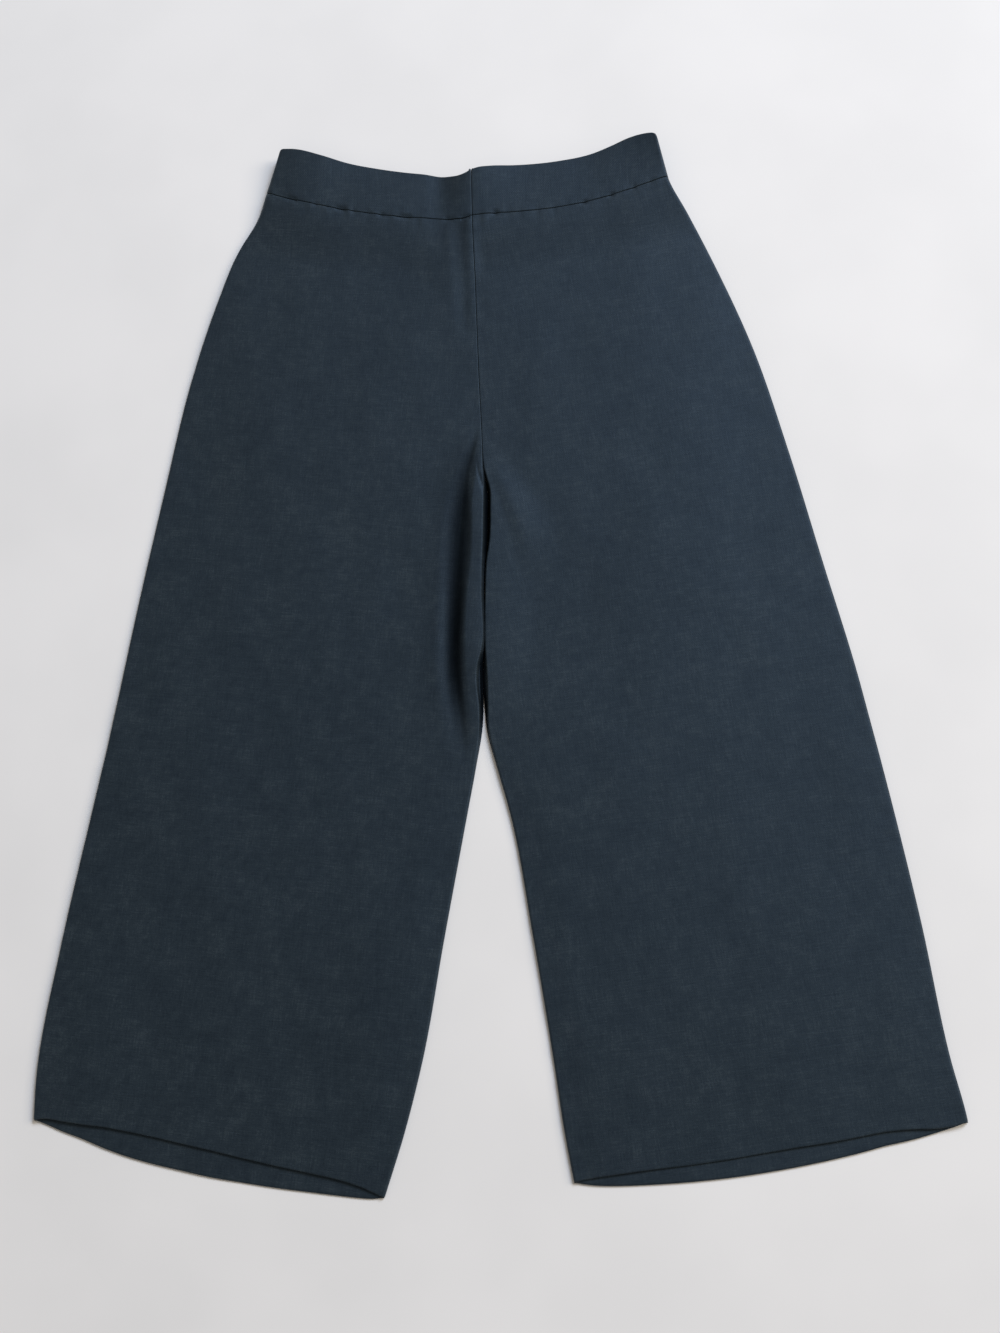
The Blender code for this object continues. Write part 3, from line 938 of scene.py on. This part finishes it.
THREAD = 0.85 * MM  # from one thread to the next
DARK = (0.0040, 0.0059, 0.0069, 1)
MID = (0.0102, 0.0142, 0.0160, 1)
PALE = (0.0242, 0.0308, 0.0326, 1)
# Near black of the painted shadow in the folds about the crotch and in the slit
PAINTED_SHADE = (0.0010, 0.0014, 0.0019, 1)
SLUB = 0.055  # slubs for each thread that a yarn crosses
SLUB_SPREAD = 1.37  # sets one yarn's slubs apart from the next one's
WARP_SLICE, WEFT_SLICE = 3.1, 9.4  # set the warp's slubs apart from the weft's
CRISP = 0.6  # how rough the noise of the yarns is
PIECE_SHIFT = (0.37, 0.21)  # sets the weave of one cut apart from the next one's
WOBBLE_SCALE, WARP_WOBBLE, WEFT_WOBBLE = 55.0, 1.1, 0.9
FLECK_SCALE, FLECK_STRETCH = 620.0, 1.6
MOTTLE_SCALE, PATCH_SCALE, CLOUD_SCALE = 150.0, 38.0, 7.0
# How much of the cloth's tone each of these makes
YARN_TONE, FLECK_TONE, MOTTLE_TONE = 1.9, 1.5, 0.8
PATCH_TONE, CLOUD_TONE, WEAVE_TONE = 0.8, 0.45, 0.22
WEAVE_MEAN = 0.55
MID_TONE, PALE_TONE = 0.5, 1.05
# And of its bumps
WEAVE_BUMP, YARN_BUMP, PATCH_BUMP = 0.40, 0.9, 0.7
BUMP_HEIGHT, BUMP_STRENGTH = 0.32 * MM, 0.60
ROUGH, ROUGH_YARN = 0.61, 0.16


def threads(across, along):
    """The rounded top of the threads that go over, with across and along counted in threads."""
    over = (along * math.pi).sine() * 0.5 + 0.5
    return (across * math.pi).sine().size() * over


def suiting(name, grain, seed):
    """A matt plain weave of slubbed navy and charcoal yarns, its warp turned by grain degrees."""
    shop = Shop(name)
    place = shop.coordinates()
    shift = (seed * PIECE_SHIFT[0], seed * PIECE_SHIFT[1], 0)
    turn = (0, 0, math.radians(grain))
    turned = shop.make("ShaderNodeMapping", {"vector_type": "POINT"}, place, shift, turn)
    u, v = shop.split(turned)
    wobble = shop.noise(turned, WOBBLE_SCALE)
    s = u / THREAD + wobble * WARP_WOBBLE
    t = v / THREAD + wobble * WEFT_WOBBLE
    warp, weft = s.floor(), t.floor()
    over, under = threads(s, t + warp + 0.5), threads(t, s + weft - 0.5)
    weave = over.biggest(under)
    warp_slub = shop.noise(shop.join(warp * SLUB_SPREAD, t * SLUB, WARP_SLICE), 1.0, rough=CRISP)
    weft_slub = shop.noise(shop.join(s * SLUB, weft * SLUB_SPREAD, WEFT_SLICE), 1.0, rough=CRISP)
    yarn = warp_slub * 0.5 + weft_slub * 0.5
    fleck = shop.noise(shop.join(u, v * FLECK_STRETCH, 0.0), FLECK_SCALE, rough=CRISP)
    mottle = shop.noise(place, MOTTLE_SCALE)
    patch = shop.noise(place, PATCH_SCALE, detail=3.0, rough=0.55)
    cloud = shop.noise(place, CLOUD_SCALE)
    tone = (yarn - 0.5) * YARN_TONE + (fleck - 0.5) * FLECK_TONE + (mottle - 0.5) * MOTTLE_TONE
    tone = tone + (patch - 0.5) * PATCH_TONE + (cloud - 0.5) * CLOUD_TONE
    tone = tone + (weave - WEAVE_MEAN) * WEAVE_TONE + MID_TONE
    body = shop.blend(tone.between(0.0, MID_TONE), DARK, MID)
    shop.feed("Base Color", shop.blend(tone.between(MID_TONE, PALE_TONE), body, PALE))
    shop.feed("Roughness", ROUGH - (yarn - 0.5) * ROUGH_YARN)
    height = weave * WEAVE_BUMP + yarn * YARN_BUMP + patch * PATCH_BUMP
    values = {"Strength": BUMP_STRENGTH, "Distance": BUMP_HEIGHT, "Height": height}
    shop.feed("Normal", shop.make("ShaderNodeBump", {}, **values))
    shop.fix(
        Metallic=0.0,
        IOR=1.45,
        Specular_IOR_Level=0.64,
        Specular_Tint=(0.52, 0.74, 1.0, 1),
        Sheen_Weight=0.06,
        Sheen_Roughness=0.5,
        Sheen_Tint=(0.62, 0.80, 1.0, 1),
        Diffuse_Roughness=1.0,
    )
    # Painted shadow: the cloth turns near black where the mesh's shadow attribute says, in the folds
    # about the crotch
    shop.paint_shade(shop.make("ShaderNodeAttribute", {"attribute_name": "shadow"}, output="Fac"))
    return shop.material


FLOOR_DULL = (0.812, 0.775, 0.735, 1)
FLOOR_PALE = (0.85, 0.81, 0.768, 1)
FLOOR_SCALE, FLOOR_DULL_LEVEL, FLOOR_PALE_LEVEL = 6.0, 0.3, 0.7


def floor_finish():
    shop = Shop("pale_floor")
    cloud = shop.noise(shop.coordinates(), FLOOR_SCALE, detail=3.0)
    level = cloud.between(FLOOR_DULL_LEVEL, FLOOR_PALE_LEVEL)
    shop.feed("Base Color", shop.blend(level, FLOOR_DULL, FLOOR_PALE))
    shop.fix(Roughness=0.9, Specular_IOR_Level=0.2)
    return shop.material


# ---------------------------------------------------------------------------------------------
# The garment
# ---------------------------------------------------------------------------------------------
cloth_left = suiting("suiting_left", 7.0, 1)
cloth_right = suiting("suiting_right", -7.0, 2)
cloth_band = suiting("suiting_band", 90.0, 3)

front_left = make_front(LEFT, cloth_left)
front_right = make_front(RIGHT, cloth_right)
back_left = make_back(LEFT, cloth_left)
back_right = make_back(RIGHT, cloth_right)
band_left = make_band_front(LEFT, cloth_band)
band_right = make_band_front(RIGHT, cloth_band)
band_back = make_band_back(cloth_band)

for piece, node, slot in (
    (front_left, "front_left", "cloth"),
    (front_right, "front_right", "cloth"),
    (back_left, "back_left", "cloth"),
    (back_right, "back_right", "cloth"),
    (band_left, "waistband_front_left", "waistband"),
    (band_right, "waistband_front_right", "waistband"),
    (band_back, "waistband_back", "elastic_waistband"),
):
    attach(piece, "root")
    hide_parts(node)

# ---------------------------------------------------------------------------------------------
# Floor, light and camera
# ---------------------------------------------------------------------------------------------
FLOOR_HALF = 4
TARGET = (0.0, 0.05, 0.0)  # where the lamps point

Lamp = collections.namedtuple("Lamp", "name place size power colour")
LAMPS = (
    Lamp("window", (4.6, 1.4, 2.9), (2.4, 2.4), 143.0, (1.07, 0.99, 0.86)),
    Lamp("sky", (2.8, 3.4, 3.8), (2.4, 2.0), 238.0, (0.84, 0.985, 1.24)),
)
ROOM_COLOUR, ROOM_STRENGTH = (1.04, 1.0, 0.93, 1), 0.28

LENS, SENSOR = 43.2, 36
CAMERA_PLACE = (0.1808, -0.3663, 1.296)
CAMERA_AHEAD = (-0.12, 0.2441, -0.9623)
CAMERA_UP = (0.0487, 0.9696, 0.2399)


def add(name, data):
    thing = bpy.data.objects.new(name, data)
    bpy.context.scene.collection.objects.link(thing)
    return thing


def look_along(thing, place, ahead, up):
    """Puts a camera or lamp at a place, looking ahead."""
    back = -Vector(ahead).normalized()
    across = Vector(up).cross(back).normalized()
    over = back.cross(across)
    turn = Matrix((across, over, back)).transposed().to_4x4()
    thing.matrix_world = Matrix.Translation(place) @ turn


corners = [(x * FLOOR_HALF, y * FLOOR_HALF, 0) for x, y in ((-1, -1), (1, -1), (1, 1), (-1, 1))]
floor_mesh = bpy.data.meshes.new("floor")
floor_mesh.from_pydata(corners, [], [(0, 1, 2, 3)])
floor_mesh.materials.append(floor_finish())
floor = add("floor", floor_mesh)

for lamp in LAMPS:
    light = bpy.data.lights.new(lamp.name, "AREA")
    light.shape = "RECTANGLE"
    light.size, light.size_y = lamp.size
    light.energy = lamp.power
    light.color = lamp.colour
    look_along(add(lamp.name, light), lamp.place, Vector(TARGET) - Vector(lamp.place), (0, 0, 1))

world = bpy.data.worlds.new("studio")
world.use_nodes = True
background = world.node_tree.nodes["Background"].inputs
background["Color"].default_value = ROOM_COLOUR
background["Strength"].default_value = ROOM_STRENGTH
bpy.context.scene.world = world

camera_data = bpy.data.cameras.new("camera")
camera_data.lens = LENS
camera_data.sensor_width = SENSOR
camera = add("camera", camera_data)
look_along(camera, CAMERA_PLACE, CAMERA_AHEAD, CAMERA_UP)
bpy.context.scene.camera = camera
bpy.context.scene.view_settings.view_transform = "Standard"
